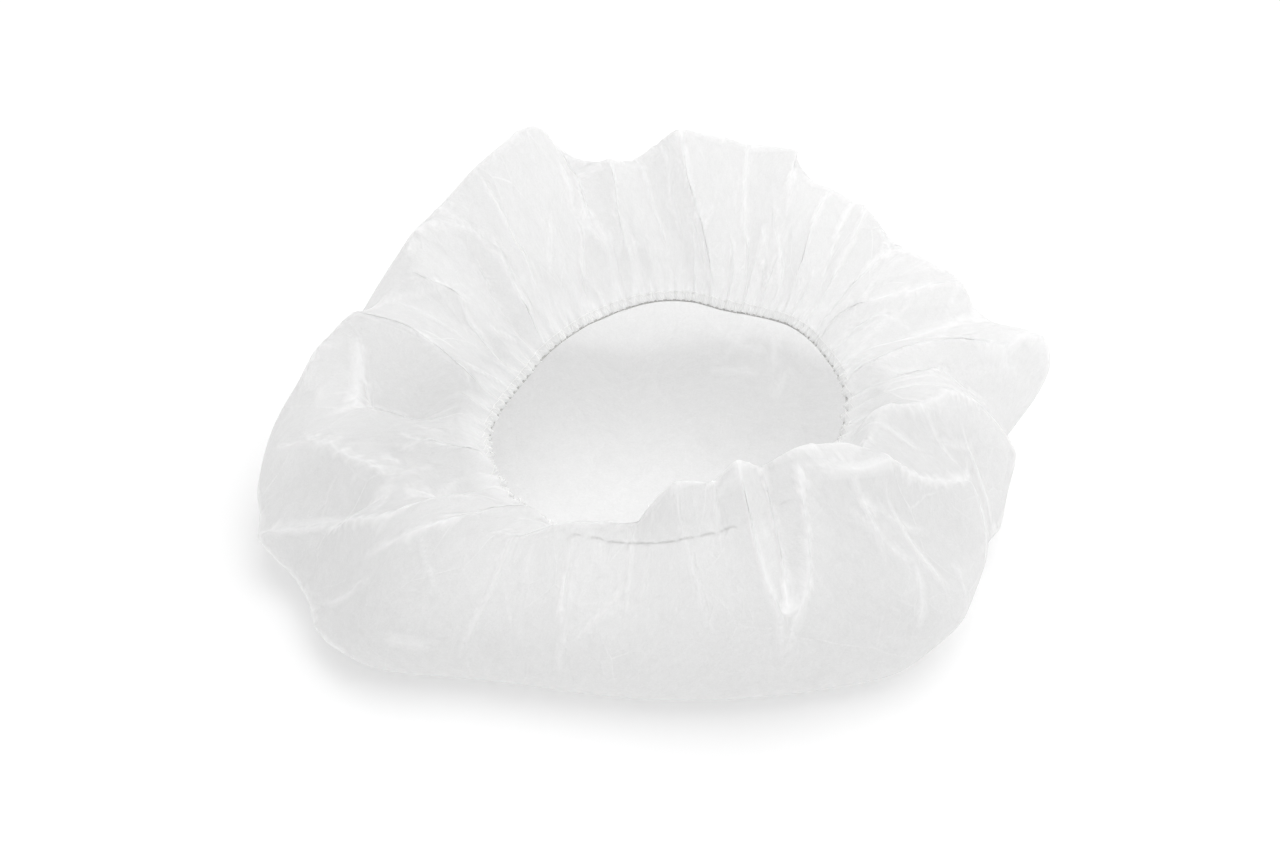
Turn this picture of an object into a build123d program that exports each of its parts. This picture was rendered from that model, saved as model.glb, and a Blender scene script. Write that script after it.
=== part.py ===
"""Disposable bouffant cap of spun-bonded non-woven, lying on its crown with the elasticated mouth up.

One round blank is gathered at its edge onto a loop of covered elastic, and a three-thread overlock seam
binds the edge and the elastic together. The pieces are the blank, the elastic and the seam's three threads.
Lengths are in millimetres. +Z is up, +X is to the cap's right and +Y is towards its back.
"""

from build123d import *

import math
import os

# The puffed-out sheet, as it lies
cap_width = 306.0  # side to side, between the mean sides of the lobed outline
cap_depth = 260.0  # front to back, between the mean sides of the lobed outline
rest_share = 0.93  # size of the patch that touches the table, as a share of the outline
bulge_height = 36.0  # the widest level
bulge_tilt = 3.0
shoulder_height = 62.0
shoulder_tilt = 8.0
crest_height = 82.0  # the top of the roll of cloth round the mouth, halfway front to back
crest_tilt = 13.0
lip_height = 77.0  # where the cloth turns down towards the mouth
lip_tilt = 12.0
side_tilt = 4.0  # of the crest, whose right side stands higher than its left
sheet_thickness = 0.6  # the space that creased 14 g/m2 non-woven takes up, not the bare web

# The mouth, with its elastic relaxed
mouth_width = 142.0
mouth_depth = 128.0
mouth_height = 58.0
mouth_tilt = 8.0
mouth_right = 11.0  # the mouth's centre lies to the right of the cap's centre
mouth_forward = 10.0  # and in front of it
edge_slope = 50.0  # how steeply the sheet's last millimetres run down to the cut edge
edge_strip = 10.0  # how much of it runs straight down at that slope

# The overlock seam
seam_width = 4.0  # needle line to cut edge
elastic_diameter = 1.4  # covered rubber thread
elastic_inset = 1.6  # elastic's centre to cut edge, along the sheet
thread_diameter = 0.3
stitch_pitch = 4.0  # with the elastic relaxed
running_clearance = 0.2  # between threads, elastic and sheet

# The outline seen from above: the direction of each station in degrees from +X, and how far out it lies,
# as a share of the mean outline. The lobes are where the cloth has puffed out between its folds.
outline_stations = [
    (0, 0.98),
    (14, 1.07),
    (38, 0.95),
    (62, 1.01),
    (84, 0.93),
    (108, 1.00),
    (142, 0.95),
    (168, 0.90),
    (193, 0.99),
    (221, 1.07),
    (252, 0.97),
    (290, 1.04),
    (320, 1.10),
    (343, 1.00),
]


def level_plane(height, back_tilt, right=0.0, forward=0.0):
    """A nearly level plane that rises towards the back and, by side_tilt, towards the right."""
    tilted = Rotation(back_tilt, -side_tilt * back_tilt / crest_tilt, 0)
    return Plane(Location((right, -forward, height)) * tilted)


def sheet_points(size, mouth_share=0.0):
    """Points of the sheet's outline at a level, drawn in towards the mouth's oval by mouth_share."""
    points = []
    for direction, share in outline_stations:
        across = math.cos(math.radians(direction))
        along = math.sin(math.radians(direction))
        outer = Vector(cap_width / 2 * across, cap_depth / 2 * along) * share * size
        inner = Vector(mouth_width / 2 * across, mouth_depth / 2 * along)
        points.append(outer * (1 - mouth_share) + inner * mouth_share)
    return points


def mouth_points(outward):
    """Points of the mouth's oval, grown by outward."""
    return [
        (
            (mouth_width / 2 + outward) * math.cos(math.radians(direction)),
            (mouth_depth / 2 + outward) * math.sin(math.radians(direction)),
        )
        for direction, _ in outline_stations
    ]


def mouth_level(rise):
    """The mouth's plane, raised along its own normal."""
    return level_plane(mouth_height, mouth_tilt, mouth_right, mouth_forward).offset(rise)


def mouth_loop(outward, rise):
    """A closed curve round the mouth, outward from the cut edge and raised above it."""
    with BuildLine(mouth_level(rise)) as loop:
        Spline(*mouth_points(outward), periodic=True)
    return loop.wires()[0]


# How far the sheet climbs and spreads from the cut edge, for each millimetre along it
climb = math.sin(math.radians(edge_slope))
spread = math.cos(math.radians(edge_slope))

# Crown sheet: the outer face is lofted from the table up over the roll and down to the cut edge,
# then the same solid, shrunk by the sheet's thickness, is taken away and the mouth is opened
levels = [
    (level_plane(0, 0), sheet_points(rest_share)),
    (level_plane(bulge_height / 4, 0), sheet_points(rest_share * 0.4 + 0.6)),
    (level_plane(bulge_height / 2, bulge_tilt / 2), sheet_points(rest_share * 0.1 + 0.9)),
    (level_plane(bulge_height, bulge_tilt), sheet_points(1)),
    (level_plane(shoulder_height, shoulder_tilt, mouth_right / 8, mouth_forward / 8), sheet_points(1, 1 / 8)),
    (level_plane(crest_height, crest_tilt, mouth_right / 3, mouth_forward / 3), sheet_points(1, 0.5)),
    (level_plane(lip_height, lip_tilt, mouth_right * 2 / 3, mouth_forward * 2 / 3), sheet_points(1, 0.75)),
    (mouth_level(edge_strip * climb), mouth_points(edge_strip * spread)),
    (mouth_level(edge_strip / 2 * climb), mouth_points(edge_strip / 2 * spread)),
    (mouth_level(0), mouth_points(0)),
]
with BuildPart() as outer_form:
    for plane, points in levels:
        with BuildSketch(plane):
            with BuildLine():
                Spline(*points, periodic=True)
            make_face()
    loft()
    split(bisect_by=Plane.XY, keep=Keep.TOP)

with BuildPart() as inner_form:
    add(offset(outer_form.part, amount=-sheet_thickness, mode=Mode.PRIVATE))
    open_face = inner_form.faces().filter_by(GeomType.PLANE).sort_by(Axis.Z)[-1]
    extrude(open_face, amount=2 * sheet_thickness)

with BuildPart() as crown_sheet:
    add(outer_form.part)
    add(inner_form.part, mode=Mode.SUBTRACT)

# Elastic: a closed ring of covered rubber thread, lying against the sheet's inner face just inside the cut edge
elastic_depth = sheet_thickness + running_clearance + elastic_diameter / 2  # below the outer face
elastic_path = mouth_loop(
    outward=elastic_inset * spread + elastic_depth * climb,
    rise=elastic_inset * climb - elastic_depth * spread,
)
with BuildPart() as elastic_cord:
    with BuildSketch(Plane(elastic_path @ 0, z_dir=elastic_path % 0)):
        Circle(elastic_diameter / 2)
    sweep(path=elastic_path)

# Where the stitches go. In a stitch's own frame +X runs along the edge, +Y from the cut edge back over the
# sheet and +Z out of the sheet's outer face, with the origin on the cut edge halfway between two needle holes.
cut_edge = mouth_loop(outward=0, rise=0)
stitch_count = round(cut_edge.length / stitch_pitch)
mouth_up = mouth_level(0).z_dir
stitch_places = []
for number in range(stitch_count):
    station = number / stitch_count
    along_edge = cut_edge % station
    outwards = along_edge.cross(mouth_up)
    sheet_normal = mouth_up * spread - outwards * climb
    stitch_places.append(Plane(cut_edge @ station, x_dir=-along_edge, z_dir=sheet_normal).location)

thread_lift = running_clearance + thread_diameter / 2  # a thread's centre above what it lies on
inner_face = -sheet_thickness
elastic_under = inner_face - running_clearance - elastic_diameter
thread_bend = 0.75 * thread_diameter  # bend radius of a thread pulled tight
pitch_used = cut_edge.length / stitch_count


def thread_stitch(points, bends):
    """One stitch of a thread, as a tube through points with a bend radius at each corner."""
    with BuildPart() as stitch:
        with BuildLine() as route:
            FilletPolyline(*points, radius=bends)
        with BuildSketch(Plane(route.line @ 0, z_dir=route.line % 0)):
            Circle(thread_diameter / 2)
        sweep(path=route.wires()[0])
    return stitch.part


def row_of(stitch):
    """A stitch repeated all the way round the mouth, as separate solids."""
    return Compound(children=[stitch.moved(place) for place in stitch_places])


# Needle thread: a staple over the outer face at each pitch, its legs down through the needle holes
staple_half = (pitch_used - thread_diameter - running_clearance) / 2
leg_end = inner_face - 2 * thread_lift
needle_thread = row_of(
    thread_stitch(
        [
            (-staple_half, seam_width, leg_end),
            (-staple_half, seam_width, thread_lift),
            (staple_half, seam_width, thread_lift),
            (staple_half, seam_width, leg_end),
        ],
        thread_bend,
    )
)

# Upper looper thread: a V on the outer face, from beside one needle hole to the cut edge and back to the next
looper_start = seam_width - thread_diameter - running_clearance
upper_looper_thread = row_of(
    thread_stitch(
        [
            (-staple_half, looper_start, thread_lift),
            (0, -thread_lift, thread_lift),
            (staple_half, looper_start, thread_lift),
        ],
        thread_bend,
    )
)

# Lower looper thread: the same V on the inner face, passing under the elastic
under_elastic = elastic_under - thread_lift
elastic_near = elastic_inset - elastic_diameter / 2
elastic_far = elastic_inset + elastic_diameter / 2
lower_looper_thread = row_of(
    thread_stitch(
        [
            (-staple_half, looper_start, inner_face - thread_lift),
            (-staple_half * 0.7, elastic_far, under_elastic),
            (-staple_half * 0.4, elastic_near, under_elastic),
            (0, -thread_lift, inner_face - thread_lift),
            (staple_half * 0.4, elastic_near, under_elastic),
            (staple_half * 0.7, elastic_far, under_elastic),
            (staple_half, looper_start, inner_face - thread_lift),
        ],
        thread_bend,
    )
)

# The origin is under the middle of the cap, on the table
box = crown_sheet.part.bounding_box()
to_origin = Location((-(box.min.X + box.max.X) / 2, -(box.min.Y + box.max.Y) / 2, -box.min.Z))
pieces = {
    "crown_sheet": crown_sheet.part,
    "elastic_cord": elastic_cord.part,
    "needle_thread": needle_thread,
    "upper_looper_thread": upper_looper_thread,
    "lower_looper_thread": lower_looper_thread,
}
os.makedirs("parts", exist_ok=True)
for name, piece in pieces.items():
    placed = piece.moved(to_origin)
    placed.label = name
    export_step(placed, f"parts/{name}.step")
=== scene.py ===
"""Disposable bouffant cap lying on its crown, its elasticated mouth facing up.

The cap is made as the real one is: a round blank is cut, gathered at its edge and puffed out, its creases
are settled by cloth simulation, and then the elastic and the overlock threads go round the mouth.
"""

import math

import bmesh
import bpy
import numpy as np
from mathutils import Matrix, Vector


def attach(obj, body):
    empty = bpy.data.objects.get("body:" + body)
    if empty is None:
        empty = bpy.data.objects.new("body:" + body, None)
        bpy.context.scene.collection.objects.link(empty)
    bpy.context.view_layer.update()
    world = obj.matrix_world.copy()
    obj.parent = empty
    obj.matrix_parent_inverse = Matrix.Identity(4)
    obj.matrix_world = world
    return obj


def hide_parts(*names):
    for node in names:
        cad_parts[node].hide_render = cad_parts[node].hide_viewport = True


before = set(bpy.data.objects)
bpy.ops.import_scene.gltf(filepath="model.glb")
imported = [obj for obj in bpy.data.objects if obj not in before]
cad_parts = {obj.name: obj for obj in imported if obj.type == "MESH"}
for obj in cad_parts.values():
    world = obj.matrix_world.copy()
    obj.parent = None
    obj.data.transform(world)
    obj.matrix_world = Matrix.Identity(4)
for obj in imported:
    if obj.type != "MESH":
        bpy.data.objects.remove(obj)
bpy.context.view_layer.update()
scene = bpy.context.scene

# ---------------------------------------------------------------------------------------------------------
# Camera: a long lens from in front of the cap, looking down at it as it lies on a table.
# ---------------------------------------------------------------------------------------------------------
camera_rise = math.radians(38)
camera_reach = 1.2
aim_point = Vector((-0.0075, 0, 0.042))
camera_data = bpy.data.cameras.new("camera")
camera_data.sensor_width = 36
camera_data.lens = 85
camera = bpy.data.objects.new("camera", camera_data)
camera.location = aim_point + camera_reach * Vector((0, -math.cos(camera_rise), math.sin(camera_rise)))
camera.rotation_euler = (math.pi / 2 - camera_rise, 0, 0)
scene.collection.objects.link(camera)
scene.camera = camera
scene.view_settings.view_transform = "Standard"
scene.view_settings.look = "None"


# ---------------------------------------------------------------------------------------------------------
# Table: a sweep of matt white paper. It only catches the cap's soft shadow.
# ---------------------------------------------------------------------------------------------------------
def linear(colour):
    """A hex sRGB colour as the linear colour that a shader socket takes."""
    channels = [int(colour[i : i + 2], 16) / 255 for i in (1, 3, 5)]
    return (*(c / 12.92 if c <= 0.04045 else ((c + 0.055) / 1.055) ** 2.4 for c in channels), 1)


def node(tree, kind, settings=None, **links):
    """Adds a shader node. settings are its properties. links are its inputs, as values or other sockets."""
    made = tree.nodes.new(kind)
    for name, value in (settings or {}).items():
        setattr(made, name, value)
    for name, value in links.items():
        socket = made.inputs[int(name[1:])] if name[1:].isdigit() else made.inputs[name.replace("_", " ")]
        if isinstance(value, bpy.types.NodeSocket):
            tree.links.new(value, socket)
        else:
            socket.default_value = value
    return made


def new_material(name):
    """An empty node material, with the output node that its shader goes to."""
    material = bpy.data.materials.new(name)
    material.use_nodes = True
    material.node_tree.nodes.clear()
    return material, material.node_tree


def add_piece(name, bm, material):
    """Makes an object of a finished bmesh, with one material."""
    mesh = bpy.data.meshes.new(name)
    bm.to_mesh(mesh)
    bm.free()
    mesh.materials.append(material)
    mesh.shade_smooth()
    piece = bpy.data.objects.new(name, mesh)
    scene.collection.objects.link(piece)
    return piece


paper_white, paper = new_material("matt_white_paper")
paper_face = node(paper, "ShaderNodeBsdfPrincipled", Base_Color=linear("#F2F2F2"), Roughness=0.9)
node(paper, "ShaderNodeOutputMaterial", Surface=paper_face.outputs["BSDF"])
bm = bmesh.new()
bmesh.ops.create_grid(bm, x_segments=1, y_segments=1, size=3)
table = add_piece("table", bm, paper_white)

# Light: a white tent that is brightest overhead and to the right, with one broad soft lamp above.
tent = bpy.data.worlds.new("light_tent")
tent.use_nodes = True
tent.node_tree.nodes.clear()
tent_brighter_by = (0.26, 0.08, 0.72)  # to the right, behind and overhead
tent_way = node(tent.node_tree, "ShaderNodeTexCoord").outputs["Generated"]
towards_light = node(
    tent.node_tree,
    "ShaderNodeVectorMath",
    {"operation": "DOT_PRODUCT"},
    _0=tent_way,
    _1=tent_brighter_by,
).outputs["Value"]
tent_strength = node(
    tent.node_tree, "ShaderNodeMath", {"operation": "ADD"}, _0=towards_light, _1=0.51
).outputs[0]
tent_light = node(tent.node_tree, "ShaderNodeBackground", Color=linear("#FFFFFF"), Strength=tent_strength)
node(tent.node_tree, "ShaderNodeOutputWorld", Surface=tent_light.outputs[0])
scene.world = tent
lamp_data = bpy.data.lights.new("top_lamp", "AREA")
lamp_data.size = 2.0
lamp_data.energy = 10
lamp = bpy.data.objects.new("top_lamp", lamp_data)
lamp.location = (0.5, 0.1, 1.5)
lamp.rotation_euler = (Vector((0, 0, 0.05)) - lamp.location).to_track_quat("-Z", "Y").to_euler()
scene.collection.objects.link(lamp)

# ---------------------------------------------------------------------------------------------------------
# Crown sheet: one round blank of spun-bonded polypropylene, 14 g/m2, die-cut and gathered at its edge onto
# the elastic. It is cut flat here, then laid over the puffed-out shape with its gathers and folds.
# ---------------------------------------------------------------------------------------------------------
blank_radius = 0.2665
cell = 0.0035  # length of a cell of the mesh, on the flat blank
ring_counts = ((0.018, 30), (0.036, 60), (0.069, 120), (0.135, 240), (blank_radius, 480))


def cut_blank():
    """The flat blank as a disc of rings, with twice the columns each time the radius doubles."""
    bm = bmesh.new()
    bmesh.ops.create_circle(bm, cap_ends=True, cap_tris=True, segments=ring_counts[0][1], radius=cell)
    inner = cell
    for outer, columns in ring_counts:
        start = inner + (cell if inner > cell else 0)
        rings = max(1, round((outer - start) / cell))
        spacing = (outer - start) / rings
        chain = [bm.verts.new((start + spacing * step, 0, 0)) for step in range(rings + 1)]
        edges = [bm.edges.new(pair) for pair in zip(chain, chain[1:])]
        bmesh.ops.spin(
            bm,
            geom=chain + edges,
            cent=(0, 0, 0),
            axis=(0, 0, 1),
            angle=math.tau,
            steps=columns,
            use_merge=True,
        )
        if inner == cell:
            bmesh.ops.remove_doubles(bm, verts=bm.verts, dist=cell / 100)
        else:
            low, high = inner - cell / 4, start + cell / 4
            rims = [e for e in bm.edges if e.is_boundary]
            gap = [e for e in rims if low < (e.verts[0].co + e.verts[1].co).length / 2 < high]
            bmesh.ops.bridge_loops(bm, edges=gap)
        inner = outer
    bmesh.ops.recalc_face_normals(bm, faces=bm.faces)
    return bm


def around(stations, direction):
    """A smooth closed curve through (direction, value) stations, read at directions in degrees."""
    at = np.array([station[0] for station in stations], float)
    value = np.array([station[1] for station in stations], float)
    at = np.concatenate([at - 360, at, at + 360])
    value = np.tile(value, 3)
    slope = np.gradient(value, at)
    i = np.searchsorted(at, direction, side="right") - 1
    span = at[i + 1] - at[i]
    t = (direction - at[i]) / span
    rise = (3 - 2 * t) * t * t
    return (
        value[i] * (1 - rise)
        + value[i + 1] * rise
        + span * t * (1 - t) * ((1 - t) * slope[i] - t * slope[i + 1])
    )


# How far out the puffed sheet reaches, and how high its crest stands, by direction from +X, in millimetres,
# and how far out the crest is, as a share of the reach
reach_stations = [
    (0, 141), (8, 148), (13, 170), (18, 150), (26, 144), (38, 142), (52, 134), (63, 136), (81, 119),
    (95, 110), (109, 130), (123, 127), (143, 130), (155, 131), (166, 138), (173, 144), (181, 146),
    (196, 144), (206, 141), (221, 149), (240, 126), (260, 121), (283, 128), (302, 139), (318, 152),
    (328, 143), (338, 138), (350, 142),
]
crest_stations = [
    (0, 70), (13, 62), (25, 75), (38, 86), (50, 91), (62, 103), (81, 107), (96, 99), (111, 110),
    (125, 101), (142, 88), (156, 74), (168, 68), (180, 60), (194, 46), (221, 52), (252, 60), (268, 70),
    (281, 86), (298, 93), (312, 90), (325, 80), (340, 74), (352, 70),
]
crest_out_stations = [
    (0, 0.84), (13, 0.93), (45, 0.88), (90, 0.93), (135, 0.88), (180, 0.80), (225, 0.78), (270, 0.74),
    (315, 0.72),
]

widest_foot = 0.147  # what reaches out further than this hangs clear of the table
centring = np.array([-0.0075, 0, 0])  # from where the directions are taken to the cap's middle

# The mouth: a relaxed oval of elastic that lies higher at the back and on the right
mouth_size = (0.071, 0.066)
mouth_centre = (0.012, -0.012, 0.058)
mouth_turn = math.radians(12)
mouth_back_rise = math.tan(math.radians(6))
mouth_right_rise = math.tan(math.radians(6))
mouth_slack_stations = [  # how far the edge strays from the oval, in millimetres
    (0, -3), (20, -5), (45, -4), (70, -6), (90, 0), (112, -1), (135, -4), (155, -6), (180, -1),
    (210, 1), (255, 2), (300, 0), (335, -2),
]


def mouth_edge(direction):
    """Points of the cut edge, for directions in radians."""
    slack = around(mouth_slack_stations, np.degrees(direction) % 360) / 1000
    across = (mouth_size[0] + slack) * np.cos(direction - mouth_turn)
    along = (mouth_size[1] + slack) * np.sin(direction - mouth_turn)
    x = across * math.cos(mouth_turn) - along * math.sin(mouth_turn)
    y = across * math.sin(mouth_turn) + along * math.cos(mouth_turn)
    z = y * mouth_back_rise + x * mouth_right_rise
    return np.stack([mouth_centre[0] + x, mouth_centre[1] + y, mouth_centre[2] + z], -1)


def meridian(direction, steps):
    """The puffed sheet's line from the middle of the crown to the mouth, for each direction in radians.
    It is a cubic B-spline, read at equal lengths of cloth."""
    degrees = np.degrees(direction) % 360
    reach = around(reach_stations, degrees)[:, None] / 1000
    crest = around(crest_stations, degrees)[:, None] / 1000
    crest_out = around(crest_out_stations, degrees)[:, None]
    foot = np.minimum(reach, widest_foot)
    edge = mouth_edge(direction)
    out = np.stack([np.cos(direction), np.sin(direction), 0 * direction], -1)
    up = np.array([0, 0, 1.0])
    top = out * reach * crest_out + up * crest
    points = [
        0 * out,
        out * foot * 0.25,
        out * foot * 0.55,
        out * foot * 0.84,
        out * foot * 0.97 + up * 0.002,
        out * foot * 1.03 + up * crest * 0.20,
        out * (foot + 2 * reach) * 0.35 + up * crest * 0.52,
        out * reach * (0.35 + 0.65 * crest_out) + up * crest * 0.90,
        top + up * 0.007,
        top * 0.5 + (edge + up * 0.014) * 0.5,
        edge + out * 0.012 + up * 0.010,
        edge,
    ]
    control = np.stack([points[0]] * 2 + points + [points[-1]] * 2, 1)
    fine = 400
    knot = np.linspace(0, control.shape[1] - 3, fine, endpoint=False)
    i = knot.astype(int)
    t = (knot - i)[None, :, None]
    line = (
        control[:, i] * (1 - t) ** 3
        + control[:, i + 1] * (3 * t**3 - 6 * t**2 + 4)
        + control[:, i + 2] * (-3 * t**3 + 3 * t**2 + 3 * t + 1)
        + control[:, i + 3] * t**3
    ) / 6
    run = np.linalg.norm(np.diff(line, axis=1), axis=2).cumsum(1)
    run = np.concatenate([np.zeros((len(direction), 1)), run], 1)
    share = np.linspace(0, 1, steps)
    read = np.empty((len(direction), steps, 3))
    for row in range(len(direction)):
        for axis in range(3):
            read[row, :, axis] = np.interp(share * run[row, -1], run[row], line[row, :, axis])
    return read + centring


# The form is worked out once, in a table of directions and steps, and read between them
table_turns, table_steps = 720, 400
form = meridian(np.linspace(0, math.tau, table_turns + 1), table_steps + 1)
along_form = np.gradient(form, axis=1)
round_form = np.gradient(form, axis=0)
round_form[0] = round_form[-1] = form[1] - form[-2]
form_normal = np.cross(round_form, along_form)
form_normal /= np.maximum(np.linalg.norm(form_normal, axis=2, keepdims=True), 1e-12)
form_normal[:, 0] = (0, 0, -1)


def read_form(field, share, direction):
    """A field of the puffed form, between its tabled directions and steps."""
    d = (direction % math.tau) / math.tau * table_turns
    s = np.clip(share, 0, 1) * table_steps
    i = np.minimum(d.astype(int), table_turns - 1)
    j = np.minimum(s.astype(int), table_steps - 1)
    u = (d - i)[:, None]
    v = (s - j)[:, None]
    return (
        (field[i, j] * (1 - u) + field[i + 1, j] * u) * (1 - v)
        + (field[i, j + 1] * (1 - u) + field[i + 1, j + 1] * u) * v
    )


# Rows of gathers: how many go round the mouth, their height, where they are highest, measured from the cut
# edge, and over what length they fade
gather_rows = (
    (120, 0.0013, 0.001, 0.008),
    (58, 0.0019, 0.014, 0.013),
    (23, 0.0022, 0.032, 0.018),
)


def gathers(from_edge, direction, random):
    """Height of the gathers that run out from the elastic, many fine ones that merge into larger ones."""
    height = np.zeros_like(direction)
    for count, size, highest, fading in gather_rows:
        turn = np.zeros_like(direction)
        swell = np.zeros_like(direction)
        for wave in range(1, 7):
            turn += random.normal() / wave * np.sin(wave * direction + random.uniform(0, math.tau))
            strength = random.normal() * 0.3
            swell += strength * np.sin(count / 6 * wave * direction + random.uniform(0, math.tau))
        ripple = np.sin(count * direction + 1.6 * turn)
        band = np.exp(-(((from_edge - highest) / fading) ** 2))
        height += size * band * ripple * np.clip(1 + swell, 0.2, 1.8)
    gathered = 0.5 + 0.5 * np.sin(direction + math.radians(15))  # the front is pulled smoother
    return height * np.where(from_edge < 0.005, 1, 0.25 + 0.75 * gathered)


# The main folds, each from one place on the blank to another. A place is a direction in degrees and a share
# of the blank's radius. Width (on the flat blank) and height are in millimetres, and a minus is a groove.
main_folds = [
    # back: the deep groove beside the left-hand puff, and the ridges of the back panel
    ((101, 0.73), (109, 0.88), 24, -13), ((109, 0.88), (117, 0.98), 18, -9),
    ((97, 0.78), (104, 0.93), 16, 5), ((82, 0.74), (79, 0.88), 18, 7), ((79, 0.88), (75, 0.97), 14, 6),
    ((86, 0.77), (76, 0.93), 9, 4), ((91, 0.76), (90, 0.93), 26, -5), ((68, 0.72), (67, 0.95), 36, -8),
    ((60, 0.72), (56, 0.86), 16, 6), ((56, 0.86), (59, 0.98), 14, 5),
    # back left: the smooth puff, and the curved bands on it
    ((126, 0.74), (130, 0.93), 60, 6), ((146, 0.73), (133, 0.83), 14, 5),
    ((133, 0.83), (139, 0.97), 14, 7), ((154, 0.76), (148, 0.87), 14, 6),
    ((150, 0.86), (153, 0.98), 22, -8),
    # left: the arched fold over a deep hollow, and the three pleats that meet at the pinched side
    ((176, 0.69), (167, 0.74), 16, 9), ((167, 0.72), (165, 0.87), 18, 11),
    ((165, 0.86), (171, 0.95), 14, 9), ((179, 0.74), (177, 0.94), 46, -24),
    ((184, 0.66), (190, 0.76), 14, 9), ((190, 0.76), (204, 0.83), 12, 8),
    ((191, 0.86), (202, 0.98), 14, 7), ((197, 0.64), (207, 0.78), 20, -10),
    ((208, 0.84), (209, 0.97), 26, -12), ((193, 0.59), (204, 0.72), 16, 11),
    ((204, 0.71), (219, 0.80), 14, 10), ((219, 0.79), (222, 0.95), 14, 8),
    ((218, 0.73), (228, 0.84), 14, 7), ((228, 0.83), (231, 0.98), 14, 7),
    ((213, 0.62), (222, 0.72), 24, -6),
    # front left: soft panels
    ((241, 0.72), (240, 0.93), 40, -6), ((255, 0.86), (257, 0.65), 14, 3),
    ((267, 0.70), (267, 0.93), 40, -5), ((278, 0.83), (282, 0.63), 14, 3),
    ((285, 0.74), (285, 0.93), 22, -5),
    # front right: the cone pleat that points down, the broad facet beside it and the fold over the lip
    ((292, 0.58), (291, 0.84), 12, 8), ((292, 0.58), (302, 0.82), 14, 9),
    ((294.5, 0.65), (297, 0.84), 13, -9), ((308, 0.77), (316, 0.69), 12, 5),
    ((316, 0.69), (312, 0.60), 12, 5), ((320, 0.64), (316, 0.80), 44, -7),
    ((303, 0.83), (321, 0.83), 14, 7), ((320, 0.83), (348, 0.74), 16, 8),
    ((318, 0.87), (322, 0.97), 30, -8),
    # right: the thin edge and the creases that run out to the corner
    ((332, 0.93), (351, 0.84), 12, 6), ((350, 0.85), (357, 0.77), 12, 6),
    ((331, 0.60), (337, 0.76), 20, 7), ((344, 0.62), (350, 0.78), 28, -8),
    ((356, 0.60), (357, 0.80), 16, 7), ((0, 1.00), (7, 0.86), 12, 7), ((7, 0.87), (10, 0.68), 14, 8),
    ((14, 0.54), (12, 0.74), 16, 9), ((4, 0.70), (1, 0.95), 20, -7), ((18, 0.70), (15, 0.97), 20, -7),
    ((19, 0.68), (23, 0.85), 14, 6), ((23, 0.84), (30, 1.00), 14, 7), ((33, 0.72), (36, 0.95), 26, -8),
    ((42, 0.72), (39, 0.95), 14, 6), ((48, 0.72), (49, 0.97), 16, 5),
]


def blank_place(direction, share):
    """A place on the flat blank, in metres."""
    angle = math.radians(direction)
    return blank_radius * share * np.array([math.cos(angle), math.sin(angle)])


def fold(points, start, end, width):
    """How far a fold from start to end lifts each point of the blank, from 0 to 1, with a crisp top."""
    run = end - start
    length = np.linalg.norm(run)
    run = run / length
    along = (points - start) @ run
    across = np.abs((points - start) @ np.array([-run[1], run[0]]))
    taper = np.clip(np.minimum(along, length - along) / (0.35 * length) + 0.25, 0, 1)
    return np.clip(1 - across / (width * (0.5 + 0.5 * taper)), 0, 1) ** 1.3 * (3 - 2 * taper) * taper**2


def creases(points, random, count, longest, height):
    """The small sharp creases that handling leaves: short folds at random places and angles."""
    lift = np.zeros(len(points))
    for _ in range(count):
        middle = blank_place(random.uniform(0, 360), math.sqrt(random.uniform(0.3, 0.95)))
        angle = random.uniform(0, math.pi)
        half = random.uniform(0.35, 1) * longest / 2 * np.array([math.cos(angle), math.sin(angle)])
        size = height * random.uniform(0.4, 1) * random.choice([-1, 1])
        lift += size * fold(points, middle - half, middle + half, longest * random.uniform(0.2, 0.5))
    return lift


def settle(cloth, hold, frames):
    """Puffs the cloth out and lets what is spare in it buckle, held towards the way it was laid."""
    held = cloth.vertex_groups.new(name="held")
    for index, weight in enumerate(hold):
        held.add([index], float(weight), "REPLACE")
    settling = cloth.modifiers.new("settling", "CLOTH")
    springs = settling.settings
    springs.quality = 5
    springs.mass = 0.05
    springs.air_damping = 1
    springs.tension_stiffness = springs.compression_stiffness = 40
    springs.shear_stiffness = 20
    springs.bending_stiffness = 0.6
    springs.vertex_group_mass = "held"
    springs.pin_stiffness = 0.5
    springs.shrink_min = -0.06
    springs.effector_weights.gravity = 0
    settling.collision_settings.use_collision = False
    settling.point_cache.frame_start = 1
    settling.point_cache.frame_end = frames
    for step in range(1, frames + 1):
        scene.frame_set(step)
    settled = cloth.evaluated_get(bpy.context.evaluated_depsgraph_get()).to_mesh()
    points = np.empty(len(settled.vertices) * 3)
    settled.vertices.foreach_get("co", points)
    cloth.modifiers.remove(settling)
    cloth.vertex_groups.remove(held)
    scene.frame_set(1)
    return points.reshape(-1, 3)


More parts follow.
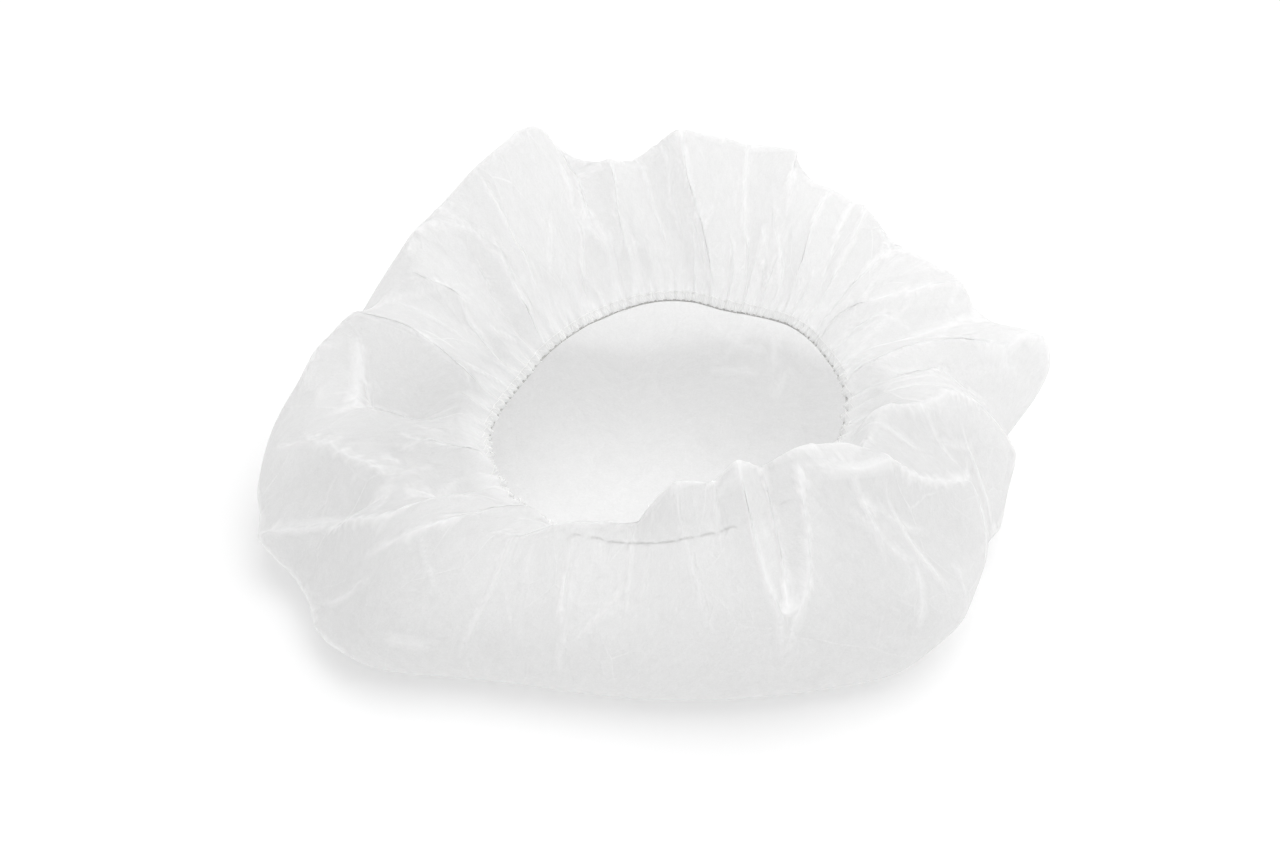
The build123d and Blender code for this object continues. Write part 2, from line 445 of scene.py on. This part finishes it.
def crisp(mesh, keep_soft, rounds=40, sharpness=0.3):
    """Turns round wrinkles into what stiff non-woven has, flat facets that meet at sharp creases.
    Each face's normal is evened out with those of its neighbours that face nearly the same way, and then
    the points are moved to suit. Returns the points, and how sharply each is creased, in radians."""
    count = len(mesh.vertices)
    points = np.empty(count * 3)
    mesh.vertices.foreach_get("co", points)
    points = points.reshape(-1, 3)
    corner_point, corner_edge = np.empty(len(mesh.loops), int), np.empty(len(mesh.loops), int)
    mesh.loops.foreach_get("vertex_index", corner_point)
    mesh.loops.foreach_get("edge_index", corner_edge)
    sides = np.empty(len(mesh.polygons), int)
    mesh.polygons.foreach_get("loop_total", sides)
    face = np.repeat(np.arange(len(sides)), sides)
    order = np.argsort(corner_edge, kind="stable")
    shared = corner_edge[order][1:] == corner_edge[order][:-1]
    left, right = face[order][:-1][shared], face[order][1:][shared]
    edge_points = np.empty(len(mesh.edges) * 2, int)
    mesh.edges.foreach_get("vertices", edge_points)
    edge_points = edge_points.reshape(-1, 2)[corner_edge[order][1:][shared]]
    normals = np.empty(len(sides) * 3)
    mesh.polygons.foreach_get("normal", normals)
    normals = normals.reshape(-1, 3)

    def gathered(index, values, length):
        return np.stack([np.bincount(index, values[:, axis], length) for axis in range(3)], 1)

    for _ in range(rounds):
        alike = np.exp(-((normals[left] - normals[right]) ** 2).sum(1) / (2 * sharpness**2))[:, None]
        normals = (
            normals
            + gathered(left, alike * normals[right], len(sides))
            + gathered(right, alike * normals[left], len(sides))
        )
        normals /= np.linalg.norm(normals, axis=1, keepdims=True)
    faces_at = np.bincount(corner_point, minlength=count)[:, None]
    for _ in range(rounds):
        centre = gathered(face, points[corner_point], len(sides)) / sides[:, None]
        off = ((centre[face] - points[corner_point]) * normals[face]).sum(1)[:, None] * normals[face]
        points = points + gathered(corner_point, off, count) / faces_at * keep_soft[:, None]
    angle = np.arccos(np.clip((normals[left] * normals[right]).sum(1), -1, 1))
    creased = np.zeros(count)
    for side in (0, 1):
        np.maximum.at(creased, edge_points[:, side], angle)
    return points, creased


seeded = np.random.default_rng(7)
bm = cut_blank()
crown_mesh = bpy.data.meshes.new("crown_sheet_cloth")
bm.to_mesh(crown_mesh)
bm.free()
flat = np.empty(len(crown_mesh.vertices) * 3)
crown_mesh.vertices.foreach_get("co", flat)
flat = flat.reshape(-1, 3)[:, :2]
flat_radius = np.hypot(flat[:, 0], flat[:, 1])
flat_direction = np.arctan2(flat[:, 1], flat[:, 0])
share = flat_radius / blank_radius
from_edge = blank_radius - flat_radius
lift = gathers(from_edge, flat_direction, seeded)
for start, end, width, height in main_folds:
    lift += height / 1000 * fold(flat, blank_place(*start), blank_place(*end), width / 1000)
lift += creases(flat, seeded, 40, 0.13, 0.0022) * np.clip(from_edge / 0.03, 0, 1)
lift *= np.clip((share - 0.35) / 0.15, 0, 1)
lifted = read_form(form_normal, share, flat_direction) * lift[:, None]
laid = read_form(form, share, flat_direction) + lifted
crown_mesh.vertices.foreach_set("co", laid.ravel())
uv = crown_mesh.uv_layers.new(name="blank")
corner = np.empty(len(crown_mesh.loops), int)
crown_mesh.loops.foreach_get("vertex_index", corner)
uv.data.foreach_set("uv", (flat[corner] / (2 * blank_radius) + 0.5).ravel())
crown_sheet = bpy.data.objects.new("crown_sheet_cloth", crown_mesh)
scene.collection.objects.link(crown_sheet)
hold = np.interp(from_edge, [0.004, 0.012, blank_radius - 0.155, blank_radius - 0.13], [1, 0.3, 0.3, 1])
settled = settle(crown_sheet, hold, frames=14)
crown_mesh.vertices.foreach_set("co", settled.ravel())
crown_mesh.update()
settled, fold_angle = crisp(crown_mesh, np.clip((from_edge - 0.010) / 0.02, 0, 1))
settled[:, 2] = np.maximum(settled[:, 2], 0.0005)
crown_mesh.vertices.foreach_set("co", settled.ravel())
creased = crown_mesh.attributes.new("creased", "FLOAT", "POINT")
past_gathers = np.clip((from_edge - 0.015) / 0.03, 0, 1)
creased.data.foreach_set("value", np.clip((fold_angle - 0.25) / 0.7, 0, 1) * past_gathers)
crown_mesh.update()

# Half-size cells, and on them the sharp creases: thin lines where the web was folded or crushed. There the
# fibres part and scatter more light, so the material reads how creased each point is.
halving = crown_sheet.modifiers.new("halving", "SUBSURF")
halving.levels = halving.render_levels = 1
halved = crown_sheet.evaluated_get(bpy.context.evaluated_depsgraph_get())
fine_mesh = bpy.data.meshes.new_from_object(halved)
crown_sheet.modifiers.remove(halving)
crown_sheet.data = fine_mesh
fine = np.empty(len(fine_mesh.vertices) * 3)
fine_mesh.vertices.foreach_get("co", fine)
fine = fine.reshape(-1, 3)
face_out = np.empty(len(fine) * 3)
fine_mesh.vertices.foreach_get("normal", face_out)
face_out = face_out.reshape(-1, 3)
corner = np.empty(len(fine_mesh.loops), int)
fine_mesh.loops.foreach_get("vertex_index", corner)
fine_uv = np.empty(len(corner) * 2)
fine_mesh.uv_layers["blank"].data.foreach_get("uv", fine_uv)
fine_flat = np.zeros((len(fine), 2))
fine_flat[corner] = (fine_uv.reshape(-1, 2) - 0.5) * 2 * blank_radius

crease_width, crease_height = 0.0038, 0.0007
crumple_lines = [  # on the floor at the back right, on the right and on the left, as main_folds has them
    ((76, 0.41), (66, 0.36)), ((71, 0.36), (62, 0.38)), ((63, 0.41), (57, 0.34)),
    ((68, 0.42), (70, 0.34)), ((56, 0.38), (52, 0.31)), ((60, 0.33), (72, 0.31)),
    ((350, 0.95), (356, 0.78)), ((7, 0.97), (8, 0.76)), ((17, 0.97), (24, 0.80)),
    ((23, 0.98), (33, 0.84)), ((340, 0.82), (352, 0.74)), ((346, 0.90), (338, 0.76)),
    ((12, 0.86), (24, 0.74)), ((0, 0.84), (9, 0.72)), ((150, 0.84), (160, 0.76)),
    ((170, 0.78), (182, 0.82)), ((202, 0.84), (214, 0.78)), ((134, 0.90), (137, 0.74)),
]
sharp = np.zeros(len(fine))
ridge = np.zeros(len(fine))
for start, end, *rest in main_folds + crumple_lines:
    strength = min(1, abs(rest[1]) / 7) if rest else 0.6
    line = strength * fold(fine_flat, blank_place(*start), blank_place(*end), crease_width)
    sharp = np.maximum(sharp, line)
    ridge += line * (math.copysign(1, rest[1]) if rest else 1)
for _ in range(80):
    direction = seeded.uniform(0, 360)
    middle = blank_place(direction, seeded.uniform(0.70, 0.97))
    angle = math.radians(direction) + seeded.normal() * 0.8
    half = seeded.uniform(0.006, 0.030) * np.array([math.cos(angle), math.sin(angle)])
    strength = seeded.uniform(0.15, 1) ** 1.7
    line = strength * fold(fine_flat, middle - half, middle + half, crease_width * seeded.uniform(0.7, 1.4))
    sharp = np.maximum(sharp, line)
    ridge += line * seeded.choice([-1, 1])
fine += face_out * (np.clip(ridge, -1, 1) * crease_height)[:, None]
fine[:, 2] = np.maximum(fine[:, 2], 0.0005)
fine_mesh.vertices.foreach_set("co", fine.ravel())
folded = np.empty(len(fine))
fine_mesh.attributes["creased"].data.foreach_get("value", folded)
whiter_edge = 0.016  # the tightest gathers lie doubled, this far in from the cut edge
gathered_edge = 1 - (blank_radius - np.hypot(fine_flat[:, 0], fine_flat[:, 1])) / whiter_edge
creased_points = np.maximum(np.maximum(sharp, folded), np.clip(gathered_edge, 0, 1))
fine_mesh.attributes["creased"].data.foreach_set("value", creased_points)
fine_mesh.update()

# Spun-bonded polypropylene: endless fine filaments laid at random and spot-bonded by a hot roller. Thin
# places between the filaments let what is behind show through, and creases and doubled web look whiter.
web, web_tree = new_material("spunbonded_polypropylene")
flat_place = node(web_tree, "ShaderNodeUVMap", {"uv_map": "blank"}).outputs[0]
cloud_size, filament_size, bond_pitch = 0.006, 0.0011, 0.0018  # bond points drawn a little coarse, to show
blank_across = 2 * blank_radius
cloud = node(
    web_tree,
    "ShaderNodeTexNoise",
    Vector=flat_place,
    Scale=blank_across / cloud_size,
    Detail=6.0,
    Roughness=0.65,
).outputs["Fac"]
filaments = node(
    web_tree,
    "ShaderNodeTexNoise",
    Vector=flat_place,
    Scale=blank_across / filament_size,
    Detail=3.0,
    Roughness=0.7,
    Distortion=1.5,
).outputs["Fac"]
bonds = node(
    web_tree,
    "ShaderNodeTexVoronoi",
    Vector=flat_place,
    Scale=blank_across / bond_pitch,
    Randomness=0.15,
).outputs["Distance"]
bond_spot = node(web_tree, "ShaderNodeMapRange", _0=bonds, _1=0.22, _2=0.34, _3=0.0, _4=1.0).outputs[0]
sway_size = 0.05
sway = node(
    web_tree, "ShaderNodeTexNoise", Vector=flat_place, Scale=blank_across / sway_size, Detail=1.0
).outputs["Color"]
swayed = node(
    web_tree, "ShaderNodeMix", {"data_type": "VECTOR"}, _0=0.035, _4=flat_place, _5=sway
).outputs[1]
crease = node(web_tree, "ShaderNodeAttribute", {"attribute_name": "creased"}).outputs["Fac"]
off_centre = node(
    web_tree, "ShaderNodeVectorMath", {"operation": "DISTANCE"}, _0=flat_place, _1=(0.5, 0.5, 0)
).outputs["Value"]
handled = node(
    web_tree, "ShaderNodeMapRange", _0=off_centre, _1=0.26, _2=0.32, _3=0.15, _4=1.0
).outputs[0]
# Crumples from handling: the facets' size, the width of the lines between them as a share of a facet, how
# white the lines are at most, and the size of the patches where they show
crumples = ((0.036, 0.016, 0.30, 0.06), (0.014, 0.030, 0.10, 0.045))
crumpled_height = 0.0
for facet_size, line_width, line_share, patch_size in crumples:
    from_line = node(
        web_tree,
        "ShaderNodeTexVoronoi",
        {"feature": "DISTANCE_TO_EDGE"},
        Vector=swayed,
        Scale=blank_across / facet_size,
    ).outputs["Distance"]
    patch = node(
        web_tree, "ShaderNodeTexNoise", Vector=flat_place, Scale=blank_across / patch_size, Detail=2.0
    ).outputs["Fac"]
    shown = node(
        web_tree, "ShaderNodeMapRange", _0=patch, _1=0.48, _2=0.68, _3=0.0, _4=line_share
    ).outputs[0]
    shown = node(web_tree, "ShaderNodeMath", {"operation": "MULTIPLY"}, _0=shown, _1=handled).outputs[0]
    line = node(
        web_tree, "ShaderNodeMapRange", _0=from_line, _1=0.0, _2=line_width, _3=shown, _4=0.0
    ).outputs[0]
    crease = node(web_tree, "ShaderNodeMath", {"operation": "MAXIMUM"}, _0=crease, _1=line).outputs[0]
    facet = node(
        web_tree, "ShaderNodeMath", {"operation": "MULTIPLY"}, _0=from_line, _1=facet_size
    ).outputs[0]
    crumpled_height = node(
        web_tree, "ShaderNodeMath", {"operation": "ADD"}, _0=facet, _1=crumpled_height
    ).outputs[0]
crumpled = node(
    web_tree, "ShaderNodeBump", Strength=0.35, Distance=0.25, Height=crumpled_height
).outputs[0]
laid_web = node(
    web_tree, "ShaderNodeMath", {"operation": "MULTIPLY_ADD"}, _0=cloud, _1=0.16, _2=0.30
).outputs[0]
laid_web = node(
    web_tree, "ShaderNodeMath", {"operation": "MULTIPLY_ADD"}, _0=filaments, _1=0.20, _2=laid_web
).outputs[0]
cover = node(
    web_tree, "ShaderNodeMath", {"operation": "MULTIPLY_ADD"}, _0=crease, _1=0.35, _2=laid_web
).outputs[0]
cover = node(web_tree, "ShaderNodeMapRange", _0=cover, _1=0.35, _2=0.90, _3=0.50, _4=0.90).outputs[0]
shade = node(
    web_tree,
    "ShaderNodeMix",
    {"data_type": "RGBA"},
    _0=crease,
    _6=linear("#F0F0F0"),
    _7=linear("#FFFFFF"),
)
height = node(
    web_tree, "ShaderNodeMath", {"operation": "MULTIPLY_ADD"}, _0=bond_spot, _1=0.5, _2=filaments
).outputs[0]
relief = node(
    web_tree, "ShaderNodeBump", Strength=0.25, Distance=0.0003, Height=height, Normal=crumpled
).outputs[0]
web_face = node(
    web_tree,
    "ShaderNodeBsdfPrincipled",
    Base_Color=shade.outputs[2],
    Roughness=0.55,
    Normal=relief,
)
web_through = node(web_tree, "ShaderNodeBsdfTranslucent", Color=shade.outputs[2], Normal=relief)
web_gap = node(web_tree, "ShaderNodeBsdfTransparent", Color=linear("#FFFFFF"))
web_cloth = node(web_tree, "ShaderNodeMixShader", _0=0.60, _1=web_face.outputs[0], _2=web_through.outputs[0])
web_all = node(web_tree, "ShaderNodeMixShader", _0=cover, _1=web_gap.outputs[0], _2=web_cloth.outputs[0])
node(web_tree, "ShaderNodeOutputMaterial", Surface=web_all.outputs[0])

fine_mesh.materials.append(web)
fine_mesh.shade_smooth()
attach(crown_sheet, "root")
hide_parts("crown_sheet")

# ---------------------------------------------------------------------------------------------------------
# Elastic: covered rubber thread, joined into a loop and sewn in just inside the cut edge, on the sheet's
# inner face, where the seam's threads hold it.
# ---------------------------------------------------------------------------------------------------------
edge_zone = blank_radius - ring_counts[-2][0] - cell
ring_step = edge_zone / round(edge_zone / cell)


def cloth_ring(depth_in_rings):
    """The settled sheet's points a number of rings in from the cut edge, in order round the mouth."""
    on_ring = np.abs(from_edge - depth_in_rings * ring_step) < ring_step / 4
    order = np.argsort(flat_direction[on_ring])
    return settled[on_ring][order]


edge_ring, needle_ring = cloth_ring(0), cloth_ring(1)
mouth_middle = edge_ring.mean(0)
into_cap = needle_ring.mean(0) - mouth_middle


def smoothed(ring, passes):
    """A ring of points with its waves evened out."""
    for _ in range(passes):
        ring = (np.roll(ring, 1, 0) + 2 * ring + np.roll(ring, -1, 0)) / 4
    return ring


edge_line, needle_line = smoothed(edge_ring, 12), smoothed(needle_ring, 12)
edge_run = np.roll(edge_line, -1, 0) - np.roll(edge_line, 1, 0)
seam_outward = np.cross(edge_run, needle_line - edge_line)
seam_outward /= np.linalg.norm(seam_outward, axis=1, keepdims=True)
seam_outward *= np.sign((seam_outward[:, :2] * (mouth_middle - edge_line)[:, :2]).sum(1).mean())


def thread_line(name, points, radius, material, turns=2):
    """A closed round thread through points."""
    curve = bpy.data.curves.new(name, "CURVE")
    curve.dimensions = "3D"
    curve.bevel_depth = radius
    curve.bevel_resolution = turns
    line = curve.splines.new("POLY")
    line.points.add(len(points) - 1)
    line.points.foreach_set("co", np.concatenate([points, np.ones((len(points), 1))], 1).ravel())
    line.use_cyclic_u = True
    curve.materials.append(material)
    piece = bpy.data.objects.new(name, curve)
    scene.collection.objects.link(piece)
    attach(piece, "root")
    return piece


elastic_radius = 0.00045
rubber, rubber_tree = new_material("covered_rubber_thread_painted_shade")
rubber_place = node(rubber_tree, "ShaderNodeTexCoord").outputs["Object"]
grain_size = 0.0005  # the covering yarn, drawn a little coarse
cover_grain = node(
    rubber_tree, "ShaderNodeTexNoise", Vector=rubber_place, Scale=1 / grain_size, Detail=2.0
).outputs["Fac"]
cover_relief = node(
    rubber_tree, "ShaderNodeBump", Strength=0.6, Distance=0.0002, Height=cover_grain
).outputs[0]
# Painted shade: the elastic is coloured grey so that it draws the shaded line under the sewn edge as a dark
# thread.
rubber_face_painted_shade = node(
    rubber_tree,
    "ShaderNodeBsdfPrincipled",
    Base_Color=linear("#B4B4B2"),
    Roughness=0.7,
    Normal=cover_relief,
)
node(rubber_tree, "ShaderNodeOutputMaterial", Surface=rubber_face_painted_shade.outputs[0])
elastic = thread_line(
    "elastic_loop",
    edge_line * 0.95 + needle_line * 0.05 - seam_outward * (elastic_radius + 0.0003),
    elastic_radius,
    rubber,
    turns=3,
)
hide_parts("elastic_cord")

# ---------------------------------------------------------------------------------------------------------
# Overlock seam: three spun polyester threads. The needle thread runs along the seam line, and the two
# loopers zigzag from it round the cut edge, the upper one outside and the lower one over the elastic.
# ---------------------------------------------------------------------------------------------------------
stitches = 190
thread_radius = 0.00013
polyester, polyester_tree = new_material("spun_polyester_thread")
thread_place = node(polyester_tree, "ShaderNodeTexCoord").outputs["Object"]
ply_size = 0.0004  # the plies' twist
ply = node(
    polyester_tree, "ShaderNodeTexNoise", Vector=thread_place, Scale=1 / ply_size, Detail=2.0
).outputs["Fac"]
ply_shade = node(
    polyester_tree,
    "ShaderNodeMix",
    {"data_type": "RGBA"},
    _0=ply,
    _6=linear("#ECECEA"),
    _7=linear("#FFFFFF"),
)
polyester_face = node(
    polyester_tree,
    "ShaderNodeBsdfPrincipled",
    Base_Color=ply_shade.outputs[2],
    Roughness=0.6,
    Sheen_Weight=0.2,
)
node(polyester_tree, "ShaderNodeOutputMaterial", Surface=polyester_face.outputs[0])


def seam_points(across, rise):
    """Points round the seam. across runs from 0 at the cut edge to 1 at the needle line."""
    turn = np.arange(len(across)) * len(edge_ring) / len(across)
    rows = np.arange(len(edge_ring) + 1)

    def at(ring):
        closed = np.concatenate([ring, ring[:1]])
        return np.stack([np.interp(turn, rows, closed[:, axis]) for axis in range(3)], 1)

    place = at(edge_ring) * (1 - across[:, None]) + at(needle_ring) * across[:, None]
    return place + at(seam_outward) * rise[:, None]


gap = 0.0003  # a thread's centre above the sheet
round_elastic = 2 * elastic_radius + 2 * gap
for name, cad_node, across, rise in (
    ("needle_thread_line", "needle_thread", (1, 1, 1, 1), (-gap, gap, gap, gap)),
    ("upper_looper_zigzag", "upper_looper_thread", (-0.06, 0.5, 0.97, 0.5), (0, gap, gap, gap)),
    (
        "lower_looper_zigzag",
        "lower_looper_thread",
        (-0.06, 0.3, 0.6, 0.97, 0.6, 0.3),
        (0, -round_elastic, -round_elastic, -gap, -round_elastic, -round_elastic),
    ),
):
    line = seam_points(np.tile(across, stitches).astype(float), np.tile(rise, stitches).astype(float))
    looper = thread_line(name, line, thread_radius, polyester, turns=1)
    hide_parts(cad_node)
